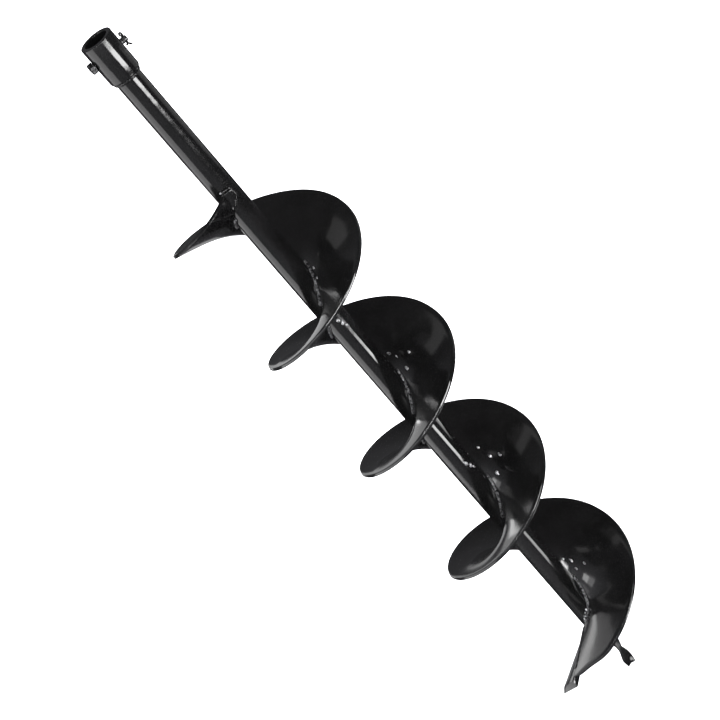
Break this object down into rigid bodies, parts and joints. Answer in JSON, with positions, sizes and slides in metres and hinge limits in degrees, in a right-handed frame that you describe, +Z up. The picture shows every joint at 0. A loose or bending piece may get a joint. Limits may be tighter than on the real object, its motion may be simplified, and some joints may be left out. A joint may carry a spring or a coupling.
{
  "type": "soil auger bit",
  "caption": "Spiral earth auger bit: tubular shaft with a drive collar on top, a welded helical flight, a cutter plate and a twisted pilot point.",
  "frame": {"origin": "centre of the drive socket's mouth, on the shaft's axis", "axes": "+Z up along the shaft, out of the socket's mouth; -Y is the side with the flight's upper end; +X is towards the split pin"},
  "size_m": [0.1457, 0.1465, 0.8],
  "materials": {
    "gloss_black": "glossy black paint",
    "weld_black": "black paint over weld beads",
    "dark_steel": "blackened steel"
  },
  "bodies": {
    "auger": {"drive_collar": "gloss_black", "collar_weld": "weld_black", "shaft_tube": "gloss_black", "flight_turn_1": "gloss_black", "flight_turn_2": "gloss_black", "flight_turn_3": "gloss_black", "flight_turn_4": "gloss_black", "flight_lead": "gloss_black", "cutter_plate": "gloss_black", "cutter_weld": "weld_black", "pilot_point": "gloss_black", "start_weld": "weld_black", "upper_weld_1": "weld_black", "upper_weld_2": "weld_black", "upper_weld_3": "weld_black", "upper_weld_4": "weld_black", "lower_weld_1": "weld_black", "lower_weld_2": "weld_black", "lower_weld_3": "weld_black", "lower_weld_4": "weld_black"},
    "cross_pin": {"cross_pin": "dark_steel"},
    "split_pin": {"split_pin": "dark_steel"}
  },
  "joints": [
    {"name": "pin_turn", "type": "hinge", "parent": "auger", "child": "cross_pin", "pos_m": [0, 0, -0.015], "axis": [0.9903, 0.1392, 0], "continuous": true},
    {"name": "split_pin_lift", "type": "slide", "parent": "cross_pin", "child": "split_pin", "axis": [0, 0, 1], "range_m": [0, 0.001]}
  ]
}
